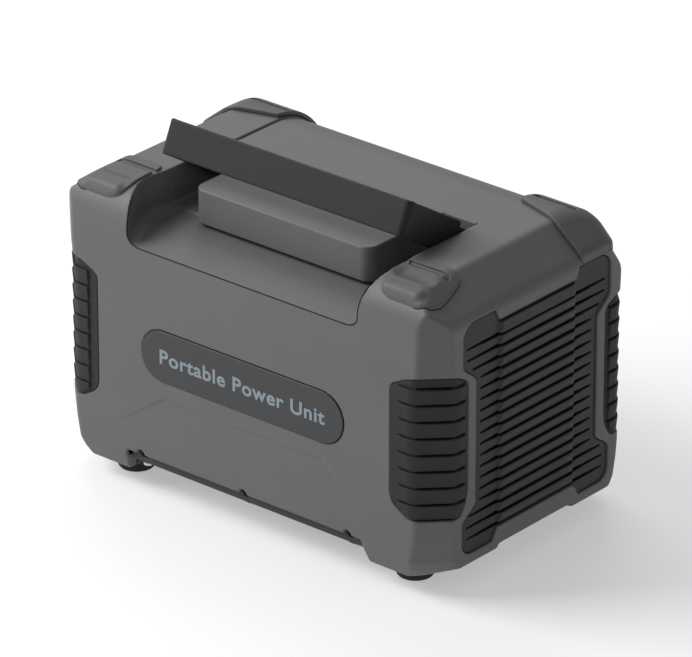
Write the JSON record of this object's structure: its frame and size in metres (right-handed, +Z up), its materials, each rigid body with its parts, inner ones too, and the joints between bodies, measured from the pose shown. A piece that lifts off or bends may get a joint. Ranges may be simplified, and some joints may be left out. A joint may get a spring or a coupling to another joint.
{
  "type": "portable power station",
  "caption": "Moulded portable power station with folding carry handle, louvred end vents, corner grip pads, sockets, push buttons, cells, inverter and cooling fans.",
  "frame": {"origin": "on the ground under the middle of the case, at the centre of its plan box", "axes": "+X along the case's length, -Y towards the plain face with the label plate, +Y towards the sockets, +Z up"},
  "size_m": [0.3026, 0.1906, 0.2323],
  "materials": {
    "case_plastic": "fine-textured moulded plastic",
    "vent_plastic": "satin moulded plastic",
    "handle_plastic": "satin moulded plastic",
    "grip_rubber": "soft overmoulded rubber",
    "foot_rubber": "moulded rubber",
    "label_film": "printed film",
    "tray_plastic": "textured moulded plastic",
    "panel_plastic": "satin moulded plastic",
    "socket_plastic": "semi-gloss moulded plastic",
    "button_plastic": "satin moulded plastic",
    "display_glass": "smoked window",
    "lamp_lens": "frosted diffuser",
    "steel": "zinc-plated",
    "aluminium": "extruded",
    "circuit_board": "solder mask",
    "cell_can": "sleeved can",
    "transformer_core": "laminated core with winding",
    "fan_plastic": "moulded plastic"
  },
  "bodies": {
    "case": {"ac_outlet_1": "socket_plastic", "ac_outlet_2": "socket_plastic", "base_screw_1": "steel", "base_screw_2": "steel", "base_screw_3": "steel", "base_screw_4": "steel", "base_screw_5": "steel", "base_screw_6": "steel", "base_tray": "tray_plastic", "battery_board": "circuit_board", "cap_hinge_bracket": "steel", "cap_hinge_pin": "steel", "car_socket": "socket_plastic", "cell_clamp_frame": "tray_plastic", "cell_row_1": "cell_can", "cell_row_2": "cell_can", "cell_tray": "tray_plastic", "charger_board": "circuit_board", "charger_heat_sink": "aluminium", "charging_input_jack": "socket_plastic", "control_board": "circuit_board", "dc_output_jack_1": "socket_plastic", "dc_output_jack_2": "socket_plastic", "display_window": "display_glass", "housing": "case_plastic", "inverter_board": "circuit_board", "inverter_heat_sink": "aluminium", "inverter_transformer": "transformer_core", "label_plate": "label_film", "lamp_lens": "lamp_lens", "led_board": "circuit_board", "left_fan_frame": "fan_plastic", "left_front_bumper": "case_plastic", "left_front_foot": "foot_rubber", "left_front_grip_pad": "grip_rubber", "left_handle_pin": "steel", "left_rear_bumper": "case_plastic", "left_rear_foot": "foot_rubber", "left_rear_grip_pad": "grip_rubber", "left_vent_panel": "vent_plastic", "right_fan_frame": "fan_plastic", "right_front_bumper": "case_plastic", "right_front_foot": "foot_rubber", "right_front_grip_pad": "grip_rubber", "right_handle_pin": "steel", "right_rear_bumper": "case_plastic", "right_rear_foot": "foot_rubber", "right_rear_grip_pad": "grip_rubber", "right_vent_panel": "vent_plastic", "socket_panel": "panel_plastic", "top_cover": "case_plastic", "usb_port_block": "socket_plastic"},
    "handle": {"handle": "handle_plastic"},
    "left_fan_rotor": {"left_fan_rotor": "fan_plastic"},
    "right_fan_rotor": {"right_fan_rotor": "fan_plastic"},
    "car_socket_cap": {"car_socket_cap": "foot_rubber"},
    "main_power_button": {"main_power_button": "button_plastic"},
    "dc_output_button": {"dc_output_button": "button_plastic"},
    "ac_output_button": {"ac_output_button": "button_plastic"},
    "lamp_button": {"lamp_button": "button_plastic"}
  },
  "joints": [
    {"name": "handle_fold", "type": "hinge", "parent": "case", "child": "handle", "pos_m": [0, 0.002, 0.1875], "axis": [-1, 0, 0], "range_deg": [-31, 58]},
    {"name": "left_fan_spin", "type": "hinge", "parent": "case", "child": "left_fan_rotor", "pos_m": [-0.131, 0, 0.1], "axis": [1, 0, 0], "continuous": true},
    {"name": "right_fan_spin", "type": "hinge", "parent": "case", "child": "right_fan_rotor", "pos_m": [0.131, 0, 0.1], "axis": [1, 0, 0], "continuous": true},
    {"name": "car_cap_swing", "type": "hinge", "parent": "case", "child": "car_socket_cap", "pos_m": [-0.092, 0.0941, 0.1065], "axis": [1, 0, 0], "range_deg": [0, 110]},
    {"name": "main_power_press", "type": "slide", "parent": "case", "child": "main_power_button", "axis": [0, -1, 0], "range_m": [0, 0.001], "stiffness_N_per_m": 400},
    {"name": "dc_output_press", "type": "slide", "parent": "case", "child": "dc_output_button", "axis": [0, -1, 0], "range_m": [0, 0.001], "stiffness_N_per_m": 400},
    {"name": "ac_output_press", "type": "slide", "parent": "case", "child": "ac_output_button", "axis": [0, -1, 0], "range_m": [0, 0.001], "stiffness_N_per_m": 400},
    {"name": "lamp_press", "type": "slide", "parent": "case", "child": "lamp_button", "axis": [0, -1, 0], "range_m": [0, 0.001], "stiffness_N_per_m": 400}
  ]
}
